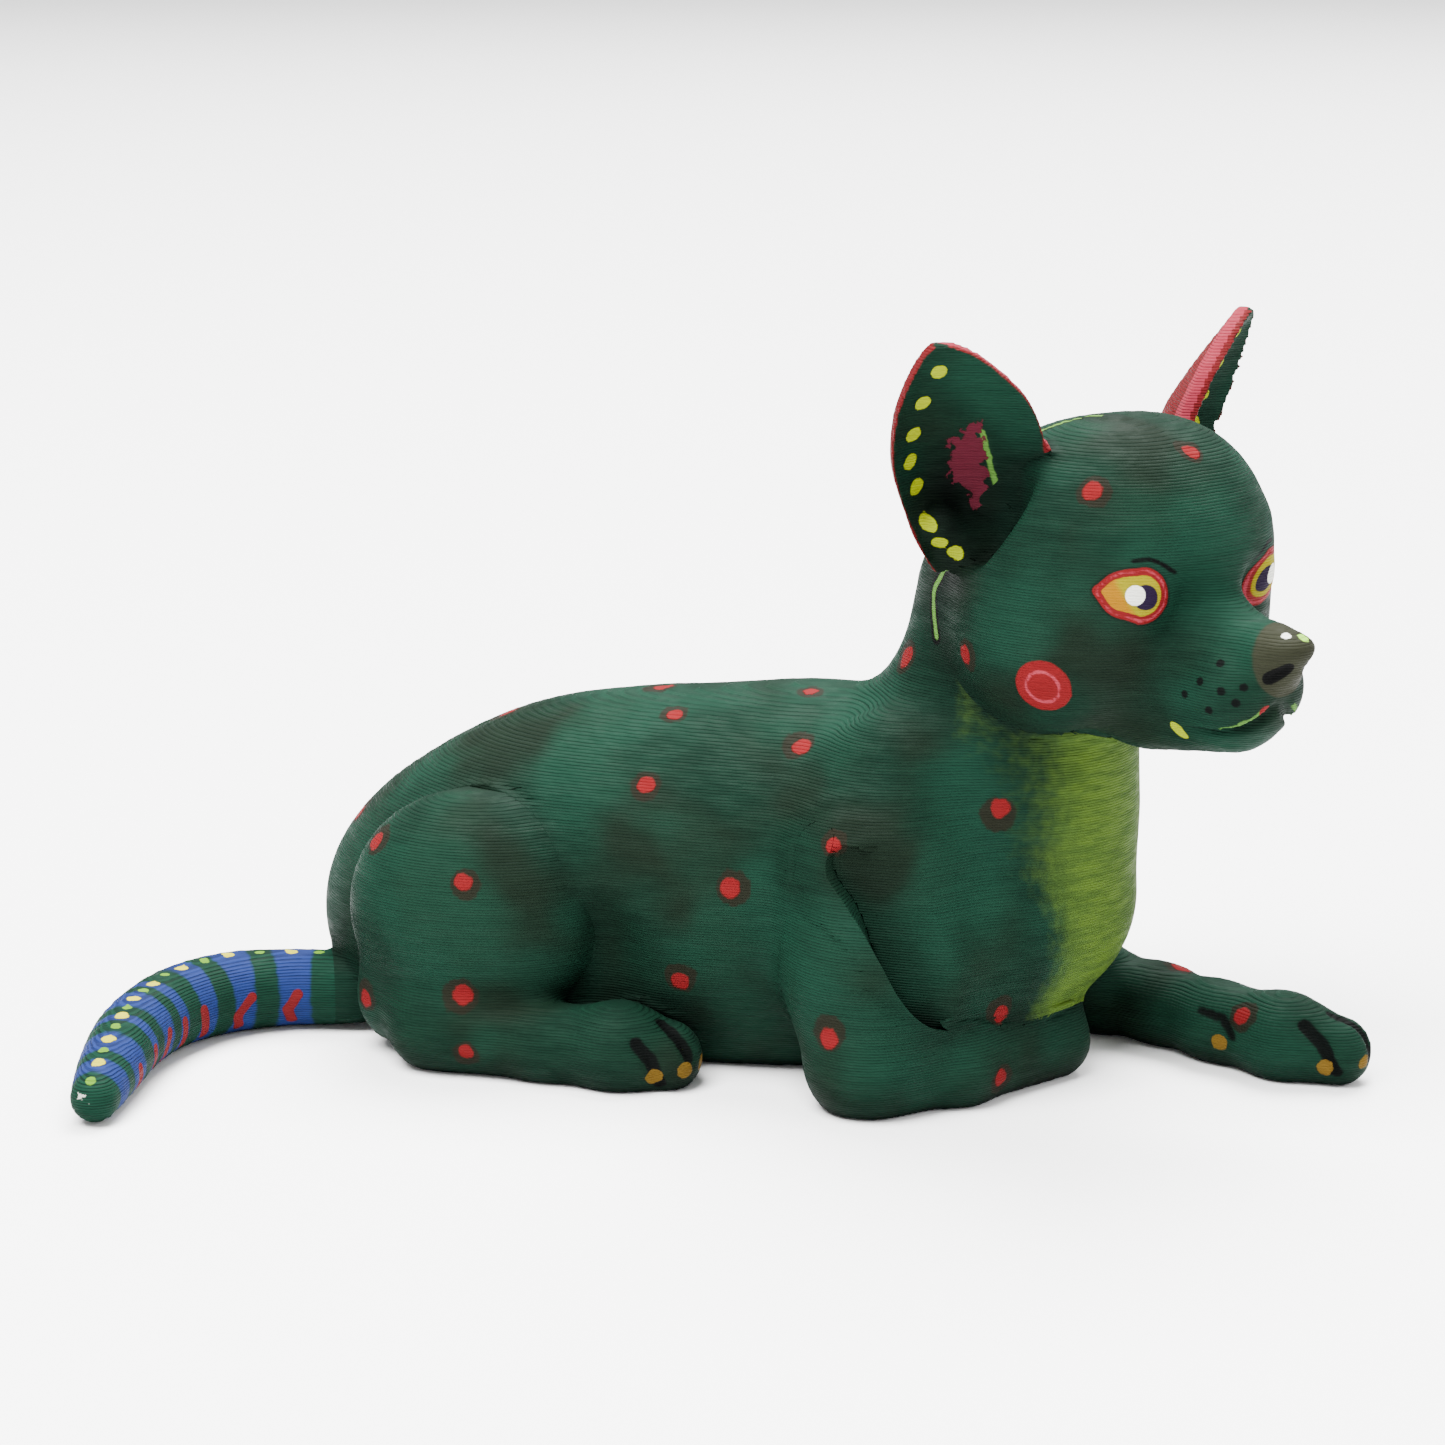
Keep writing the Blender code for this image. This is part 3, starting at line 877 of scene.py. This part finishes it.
def add_body_maps(piece, corners, breadth=0.2):
    """The maps that every green part has: spots, and painted shade that is dark deep in the creases
    between parts and low down by the table, standing also for the dark airbrushing in the creases. The
    breadth is the share of the shade that spreads out from the crease."""
    far = measured(corners)
    ranked = np.sort(np.stack([far[name] for name in FORMS], 1), axis=1)
    gap = np.maximum(ranked[:, 1], 0)
    # painted shade in the creases: darker where a second part is near
    crease = np.maximum(np.exp(-gap / 1.3), breadth * np.exp(-gap / 3.5))
    crease = crease * np.interp(corners[:, 2], CREASE_HEIGHTS, CREASE_SHADE_STRENGTH)
    # painted shade low down, where the table shadows the figure
    shade_by_table = np.exp(-corners[:, 2] / 1.2)
    paint_map(piece, "shade_and_airbrush", np.clip(np.maximum(crease, 0.8 * shade_by_table), 0, 1))
    paint_map(piece, "spot", nearest(corners, SETTLED_SPOTS, SPOT_SIZES))
    paint_map(piece, "halo", nearest(corners, HALO_CENTRES, SPOT_SIZES))


def carried(piece, name, body, material):
    """Gives the piece its paint and puts it in the place of the CAD node of that name."""
    piece.data.materials.append(material)
    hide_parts(name)
    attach(piece, body)


# Torso ----------------------------------------------------------------------------------------------
# Rump, loin, ribs, chest and lower neck in one print, flat underneath, with a socket for the tail's
# dowel. The chest has a yellow-green bib brushed over the green, up to the chin.
BIB = (0.044, 0.080, 0.009)
BIB_HALF_WIDTH = 12.0
BIB_BACK = 30.0
TAIL_SOCKET = ((-47.0, -11.5, 4.1, 1.8), (-36.0, -7.0, 4.1, 1.8))


def torso_paint():
    material, tree, shader = new_material("torso_paint")
    colour = green_ground(tree, stored(tree, "shade_and_airbrush"))
    colour, bib = marked(tree, colour, "bib", 0.0, BIB, ragged=3.0, soft=2.4, strength=0.92)
    streaks = maths(tree, "MULTIPLY", bib, use(tree, BRUSH)["Streak"])
    colour = mixed(tree, maths(tree, "MULTIPLY", streaks, 0.45), colour, GROUND)
    colour, spots = red_spots(tree, colour)
    finish_paint(tree, shader, colour, raised=spots)
    return material


torso, torso_corners = printed("torso", 0.55, [TAIL_SOCKET])
add_body_maps(torso, torso_corners, breadth=0.7)
aside = np.abs(torso_corners[:, 1]) - BIB_HALF_WIDTH
paint_map(torso, "bib", np.maximum(aside, BIB_BACK - torso_corners[:, 0]))
carried(torso, "torso", "figure", torso_paint())


# Legs -----------------------------------------------------------------------------------------------
# Four prints glued into hollows in the torso's sides: the hind legs folded along the belly, the right
# foreleg tucked under the chest, the left one stretched forward. Black strokes part the toes, and the
# claws are dabs of ochre.
OCHRE = (0.080, 0.045, 0.006)
HIND_CLAWS = ((-1.3, -23.9, 1.9), (1.7, -22.6, 2.5), (2.9, -19.8, 2.6))
FORE_CLAWS = ((66.2, 5.3, 2.3), (69.6, 3.4, 2.9), (70.8, 0.4, 2.8), (54.7, 2.3, 3.2))


def leg_paint():
    material, tree, shader = new_material("leg_paint")
    colour = green_ground(tree, stored(tree, "shade_and_airbrush"))
    colour, _ = marked(tree, colour, "toe_line", 0.42, BLACK, ragged=0.4, soft=0.14, strength=0.95)
    colour, claws = marked(tree, colour, "claw", 0.95, OCHRE, ragged=0.7)
    colour, spots = red_spots(tree, colour)
    finish_paint(tree, shader, colour, raised=maths(tree, "MAXIMUM", claws, spots))
    return material


LEG_PAINT = leg_paint()
for leg in LEGS:
    piece, corners = printed(leg, 0.5, margin=7.0)
    add_body_maps(piece, corners)
    claws, toes = (HIND_CLAWS, HIND_TOES) if leg.startswith("hind") else (FORE_CLAWS, FORE_TOES)
    drawn = corners if leg.endswith("right") else flipped(corners)
    paint_map(piece, "claw", nearest(drawn, claws))
    paint_map(piece, "toe_line", to_lines(drawn, toes))
    carried(piece, leg, "figure", LEG_PAINT)


# Head -----------------------------------------------------------------------------------------------
# One print, flat at the neck and bored for the ears' dowels. The face is painted alike on both sides,
# but for the left eye, a little nearer to the nose: almond eyes in red rims, an olive nose, whisker
# dots, a black mouth line with a fang, and a red cheek. Lime strokes run up the neck and the crown.
EYE = np.array((13.9, 9.5, -1.2), np.float32)
EYE_AXES = np.array(((0.643, -0.766, 0.0), (-0.178, -0.150, 0.972)), np.float32)  # to the nose, and up
EYE_DROP = ((0.1, 0.0, 2.8), (-1.9, 0.15, 2.05), (-4.2, 0.5, 0.4))
FAR_EYE_SHIFT = 1.5  # the left eye is painted this much nearer to the nose
PUPIL = (0.55, -0.2)
GLINT = (-0.48, 0.0)
BROW = ((-0.8, 3.35, 0.0), (1.2, 3.45, 0.0), (3.5, 2.3, 0.0))
CHEEK = (6.6, 15.4, -10.9)
NOSE = (24.9, 0.0, -7.1)
NOSE_GLINTS = ((25.6, -0.8, -5.7), (26.1, 0.5, -5.6))
WHISKERS = (
    (20.6, 4.7, -7.7), (19.1, 5.6, -9.6), (17.3, 6.1, -11.0), (21.3, 5.1, -10.2), (22.9, 4.0, -9.7),
    (22.3, 4.4, -11.1), (20.3, 5.5, -12.0),
)
LIP = ((20.8, 4.7, -13.9, 0.0), (22.6, 3.9, -13.3, 0.0), (24.2, 2.4, -12.3, 0.0))
FANG = ((15.2, 5.4, -14.8, 0.55), (15.9, 4.9, -16.0, 0.62))
TONGUE = (24.2, -1.4, -12.7)
NAPE_STROKE = ((24.6, -11.5, 54.5, 0.0), (24.5, -9.3, 51.9, 0.0), (25.3, -10.3, 47.4, 0.0))
CROWN_STROKE = ((34.5, -8.0, 67.5, 0.0), (38.0, -7.2, 69.0, 0.0), (42.5, -6.0, 69.6, 0.0))
EAR_SOCKET = ((-6.0, 12.9, 1.7, 1.25), (-6.5, 18.0, 4.6, 1.25))
IRIS = (0.150, 0.130, 0.001)
IRIS_ORANGE = (0.190, 0.080, 0.001)
PUPIL_PURPLE = (0.008, 0.004, 0.014)
WHITE = (0.560, 0.560, 0.500)
PINK = (0.200, 0.022, 0.034)
OLIVE = (0.0130, 0.0140, 0.0080)
YELLOW = (0.170, 0.200, 0.000)
NOSE_LIME = (0.16, 0.33, 0.03)


def in_body(stations):
    """Stations given in the head's frame, each a place and a radius, as stations in the body's."""
    c, s = math.cos(HEAD_TURN), math.sin(HEAD_TURN)
    turn = np.array(((c, -s, 0), (s, c, 0), (0, 0, 1)))
    return [(*(HEAD_CENTRE + turn @ np.array(station[:3])), *station[3:]) for station in stations]


def on_face(places):
    """Places in the head's frame, moved straight on to the skin."""
    return in_head(settled(in_body(places)))


def line_on_face(stations):
    places = curved([station[:3] for station in stations], 5)
    return [(*place, 0.0) for place in on_face(places)]


def other_side(stations):
    return [(x, -y, z, radius) for x, y, z, radius in stations]


def eye_place(both):
    """The flat picture of the eye: millimetres towards the nose and up, from the middle of the ball."""
    return (both - EYE) @ EYE_AXES.T


def head_paint():
    material, tree, shader = new_material("head_paint")
    colour = green_ground(tree, stored(tree, "shade_and_airbrush"))
    colour, _ = marked(tree, colour, "nape", 0.90, BLACK, ragged=0.4, soft=0.12)
    colour, _ = marked(tree, colour, "nape", 0.36, LIME, ragged=0.4, soft=0.10)
    colour, _ = marked(tree, colour, "whisker", 0.45, BLACK, ragged=0.35, soft=0.08, strength=0.95)
    colour, _ = marked(tree, colour, "lip", 0.26, LIME, ragged=0.9, soft=0.12, strength=0.8)
    colour, _ = marked(tree, colour, "mouth", 0.24, BLACK, ragged=0.25, soft=0.14)
    colour, _ = marked(tree, colour, "nose", 3.85, OLIVE, ragged=0.25, soft=0.10)
    colour, _ = marked(tree, colour, "nostril", 0.40, BLACK, ragged=0.15)
    colour, glint = marked(tree, colour, "nose_glint", 0.55, WHITE, ragged=0.4)
    colour, _ = marked(tree, colour, "nose_lime", 0.65, NOSE_LIME, ragged=0.5)
    colour, _ = marked(tree, colour, "tongue", 0.65, SPOT_RED, ragged=0.4)
    colour, cheek = marked(tree, colour, "cheek", 2.95, SPOT_RED, ragged=0.3, soft=0.1)
    colour, _ = marked(tree, colour, "cheek_ring", 0.17, PINK, ragged=0.3, soft=0.08, strength=0.95)
    colour, spots = red_spots(tree, colour)
    colour, _ = marked(tree, colour, "eye", 0.18, BLACK, ragged=0.1, soft=0.2, strength=0.5)
    colour, rim = marked(tree, colour, "eye", 0.0, SPOT_RED, ragged=0.2)
    colour, _ = marked(tree, colour, "eye_line", 0.10, PINK, ragged=0.3, soft=0.06, strength=0.9)
    colour, iris = marked(tree, colour, "eye", -0.78, IRIS, ragged=0.25)
    orange = use(tree, DAB, Distance=stored(tree, "orange"), Radius=0.0, Ragged=1.0, Soft=0.5)["Mask"]
    colour = mixed(tree, maths(tree, "MULTIPLY", orange, iris), colour, IRIS_ORANGE)
    colour, _ = marked(tree, colour, "pupil", 1.25, PUPIL_PURPLE, ragged=0.15)
    colour, _ = marked(tree, colour, "fang", 0.0, YELLOW, ragged=0.2)
    colour, white = marked(tree, colour, "glint", 1.0, WHITE, ragged=0.1)
    colour, _ = marked(tree, colour, "brow", 0.2, BLACK, ragged=0.2, soft=0.12)
    raised = rim
    for dabbed in (white, spots, cheek, glint):
        raised = maths(tree, "MAXIMUM", raised, dabbed)
    finish_paint(tree, shader, colour, raised=raised)
    return material


def add_face_maps(piece, corners):
    place_in_head = in_head(corners)
    both = folded(place_in_head)
    eye = eye_place(both)
    eye[:, 0] -= np.where(place_in_head[:, 1] > 0, FAR_EYE_SHIFT, 0.0)
    away = np.where(both[:, 0] > 8.0, 0.0, 9.0)
    drop = path(eye, EYE_DROP, 1.4) + away
    paint_map(piece, "eye", drop)
    paint_map(piece, "eye_line", np.abs(drop + 0.32))
    paint_map(piece, "orange", eye[:, 0] + eye[:, 1] * 0.6 + 1.6)
    paint_map(piece, "pupil", np.linalg.norm(eye - PUPIL, axis=1) + away)
    paint_map(piece, "glint", np.linalg.norm(eye - GLINT, axis=1) + away)
    paint_map(piece, "brow", path(eye, curved(BROW, 4), 0.1) + away)
    cheek = nearest(both, on_face([CHEEK]))
    paint_map(piece, "cheek", cheek)
    paint_map(piece, "cheek_ring", np.abs(cheek - 1.75))
    paint_map(piece, "nose", nearest(both, [NOSE]))
    paint_map(piece, "nostril", limb(both, *NOSTRIL))
    paint_map(piece, "nose_glint", nearest(place_in_head, on_face(NOSE_GLINTS[:1])))
    paint_map(piece, "nose_lime", nearest(place_in_head, on_face(NOSE_GLINTS[1:])))
    paint_map(piece, "whisker", nearest(both, on_face(WHISKERS)))
    paint_map(piece, "lip", to_lines(both, [line_on_face(LIP)]))
    paint_map(piece, "mouth", path(both, MOUTH, 0.1) + 0.3)
    paint_map(piece, "fang", limb(both, *FANG))
    paint_map(piece, "tongue", nearest(place_in_head, on_face([TONGUE])))
    paint_map(piece, "nape", to_lines(corners, [settled_line(NAPE_STROKE), settled_line(CROWN_STROKE)]))


head, head_corners = printed("head", 0.42, [in_body(EAR_SOCKET), in_body(other_side(EAR_SOCKET))])
add_body_maps(head, head_corners)
add_face_maps(head, head_corners)
carried(head, "head", "figure", head_paint())


# Ears -----------------------------------------------------------------------------------------------
# Thin leaf-shaped cups, each printed with the lump that takes its dowel and pulled off by hand. Green
# inside, with painted shade almost black in the depth, dark red behind and round the edge, with a pink
# strip on the side of the skull and a row of yellow dabs. The dabs, patch and stroke lie on the leaf laid
# flat.
EAR_DOTS = (
    (22.5, 0.15), (18.7, -1.2), (15.0, -2.0), (11.9, -2.3),
    (8.9, -1.6), (5.8, -0.9), (3.6, 0.25), (2.6, 1.8),
)
EAR_PATCH = ((15.8, 4.2, 0.5), (12.5, 3.6, 1.5), (9.8, 3.9, 1.6), (7.2, 4.8, 0.8))
EAR_STROKE = ((14.5, 5.0, 0.0), (11.6, 5.7, 0.0), (8.7, 6.3, 0.0))
EAR_RED = (0.066, 0.004, 0.005)
EAR_PINK = (0.150, 0.014, 0.024)
PATCH_PINK = (0.050, 0.006, 0.012)


def ear_paint():
    material, tree, shader = new_material("ear_paint")
    colour = green_ground(tree, stored(tree, "shade_and_airbrush"))
    # painted shade: the depth of the ear's cup near black
    colour, _ = marked(tree, colour, "cup", 0.0, DARK_PAINT_AND_SHADE, ragged=2.0, soft=3.4, strength=0.96)
    colour, _ = marked(tree, colour, "stroke", 0.28, LIME, ragged=0.5, soft=0.1)
    colour, patch = marked(tree, colour, "patch", 0.0, PATCH_PINK, ragged=3.4, soft=0.1)
    colour, _ = marked(tree, colour, "back", 0.0, EAR_RED, ragged=0.2, soft=0.1)
    colour, _ = marked(tree, colour, "thin_rim", 0.0, EAR_RED, ragged=0.4, soft=0.1)
    colour, _ = marked(tree, colour, "wide_rim", 0.0, EAR_PINK, ragged=0.6, soft=0.1)
    colour, dots = marked(tree, colour, "dot", 0.82, YELLOW, ragged=0.5)
    finish_paint(tree, shader, colour, raised=maths(tree, "MAXIMUM", patch, dots))
    return material


def add_ear_maps(piece, corners):
    leaf = on_leaf(in_head(corners))[:, :2]
    share, across, height, past_rim = in_ear(corners)
    outside = np.where(height > 0, 0.0, 9.0)
    # where the painted shade in the cup lies
    paint_map(piece, "cup", np.hypot((leaf[:, 0] - 8.0) / 1.6, leaf[:, 1] - 1.8) - 2.6 + outside)
    paint_map(piece, "stroke", path(leaf, EAR_STROKE, 0.1) + outside)
    paint_map(piece, "patch", path(leaf, EAR_PATCH, 0.5) + outside)
    paint_map(piece, "back", height + 0.5)
    paint_map(piece, "thin_rim", np.where((across > 0) & (share < 0.42), 9.0, -past_rim - 0.14))
    paint_map(piece, "wide_rim", np.where((across > 0) & (height < 0.2), -past_rim - 1.4, 9.0))
    paint_map(piece, "dot", nearest(leaf, EAR_DOTS) + outside)


EAR_PAINT = ear_paint()
for ear in ("ear_right", "ear_left"):
    piece, corners = printed(ear, 0.3)
    add_body_maps(piece, corners, breadth=0.0)
    add_ear_maps(piece, corners)
    carried(piece, ear, ear, EAR_PAINT)


# Tail -----------------------------------------------------------------------------------------------
# A round print that lies on the table, plugged into the rump on a dowel. Blue bands over green, red
# dabs low on each band, yellow and lime dabs in turn along the top, and a white scuff at the tip.
BANDS = (6.1, 13.2, 19.6, 25.0, 29.5, 34.0, 39.4, 44.2)  # middles, in mm along the tail
BAND_HALF_WIDTHS = (1.8, 1.6, 1.4, 1.2, 1.1, 1.15, 1.3, 1.35)
LAST_GAP_END = 50.5
TAIL_BLUE = (0.009, 0.018, 0.080)
TAIL_GREEN = (0.0035, 0.0260, 0.0150)
TIP_SCUFF = (-54.9, -47.7, 3.2)
TAIL_RED = (0.085, 0.006, 0.007)
TAIL_LIME = (0.060, 0.140, 0.008)
TAIL_YELLOW = (0.300, 0.270, 0.010)


def tail_paint():
    material, tree, shader = new_material("tail_paint")
    colour = green_ground(tree, stored(tree, "shade_and_airbrush"))
    colour = mixed(tree, 0.55, colour, TAIL_GREEN)
    colour, _ = marked(tree, colour, "band", 0.0, TAIL_BLUE, ragged=0.8, soft=0.28)
    # painted shade: the tail's layer grooves darkened
    grooves = maths(tree, "MULTIPLY", use(tree, LINES)["Groove"], 0.55)
    colour = mixed(tree, grooves, colour, DARK_PAINT_AND_SHADE)
    colour, dabs = marked(tree, colour, "dab", 0.6, TAIL_RED, ragged=0.3)
    colour, _ = marked(tree, colour, "dot_lime", 0.55, TAIL_LIME, ragged=0.6)
    colour, dots = marked(tree, colour, "dot_yellow", 0.76, TAIL_YELLOW, ragged=0.6)
    colour, _ = marked(tree, colour, "scuff", 0.5, WHITE, ragged=4.0, soft=0.1, strength=0.6)
    finish_paint(tree, shader, colour, raised=maths(tree, "MAXIMUM", dabs, dots))
    return material


def along_tail(corners):
    """How far along the tail each point lies, in millimetres, blended at the bends."""
    total = weights = 0
    start = 0.0
    far = tail_form(corners)
    for low, high in zip(TAIL[1:], TAIL[2:]):
        run = np.array(high[:3]) - np.array(low[:3])
        length = np.linalg.norm(run)
        share = np.clip((corners - np.array(low[:3])) @ run / length**2, 0, 1)
        if high is TAIL[-1]:
            share = np.maximum((corners - np.array(low[:3])) @ run / length**2, 0)
        weight = np.exp(-(limb(corners, low, high) - far) / 0.8)
        total = total + weight * (start + share * length)
        weights = weights + weight
        start += length
    return total / weights


def tail_axis(run):
    """The middle of the tail that far along it, with its radius, and the way the tail runs there."""
    for low, high in zip(TAIL[1:], TAIL[2:]):
        way = np.array(high[:3]) - np.array(low[:3])
        length = np.linalg.norm(way)
        if run <= length or high is TAIL[-1]:
            return np.array(low) + (np.array(high) - np.array(low)) * run / length, way / length
        run -= length


def tail_top(run):
    middle, _ = tail_axis(run)
    return middle[:3] + (0, 0, middle[3])


def tail_dab(band, side):
    """A leaning stroke low on one flank of the tail."""
    ends = []
    for run, height in ((band + 0.3, 0.1), (band, -0.3), (band - 0.3, -0.65)):
        middle, way = tail_axis(run)
        aside = np.cross(way, (0, 0, side)) * math.sqrt(1 - height * height)
        ends.append(middle[:3] + middle[3] * (aside + (0, 0, height)))
    return [(*place, 0.0) for place in ends]


tail, tail_corners = printed("tail", 0.36)
add_body_maps(tail, tail_corners)
run = along_tail(tail_corners)
bands = [np.abs(run - middle) - half_width for middle, half_width in zip(BANDS, BAND_HALF_WIDTHS)]
paint_map(tail, "band", np.minimum.reduce(bands))
dabs = [tail_dab(band, side) for band in BANDS[:-1] for side in (1, -1)]
paint_map(tail, "dab", to_lines(tail_corners, dabs))
paint_map(tail, "dot_yellow", nearest(tail_corners, settled([tail_top(band) for band in BANDS])))
paint_map(tail, "scuff", nearest(tail_corners, [TIP_SCUFF]))
gaps = [low + 0.5 * (high - low) for low, high in zip((0.0,) + BANDS, BANDS + (LAST_GAP_END,))]
paint_map(tail, "dot_lime", nearest(tail_corners, settled([tail_top(gap) for gap in gaps])))
carried(tail, "tail", "tail", tail_paint())


# Pegs -----------------------------------------------------------------------------------------------
# Birch dowels, glued in at the neck, shoulders and hips and left dry at the ears and the tail. They
# are hidden while the figure is whole, and keep the shape they have in the solid model.
BIRCH_PALE = (0.46, 0.31, 0.16)
BIRCH_DARK = (0.30, 0.18, 0.085)
BIRCH_FLECK = (0.16, 0.09, 0.04)


def birch():
    material, tree, shader = new_material("birch_dowel")
    grain = noise(tree, scaled(tree, place(tree), (1.0, 1.0, 0.15)), 0.5, detail=3.0)
    fleck = ramp(tree, noise(tree, place(tree), 0.25), 0.62, 0.72)
    colour = mixed(tree, grain, BIRCH_PALE, BIRCH_DARK)
    colour = mixed(tree, maths(tree, "MULTIPLY", fleck, 0.4), colour, BIRCH_FLECK)
    join(tree, shader.inputs["Base Color"], colour)
    shader.inputs["Roughness"].default_value = 0.62
    bump = tree.nodes.new("ShaderNodeBump")
    bump.inputs["Distance"].default_value = 0.03 * MM
    join(tree, bump.inputs["Height"], grain)
    join(tree, shader.inputs["Normal"], bump.outputs["Normal"])
    return material


DOWEL = birch()
for name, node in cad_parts.items():
    if name.endswith("peg") or "_peg_" in name:
        node.data.materials.clear()
        node.data.materials.append(DOWEL)
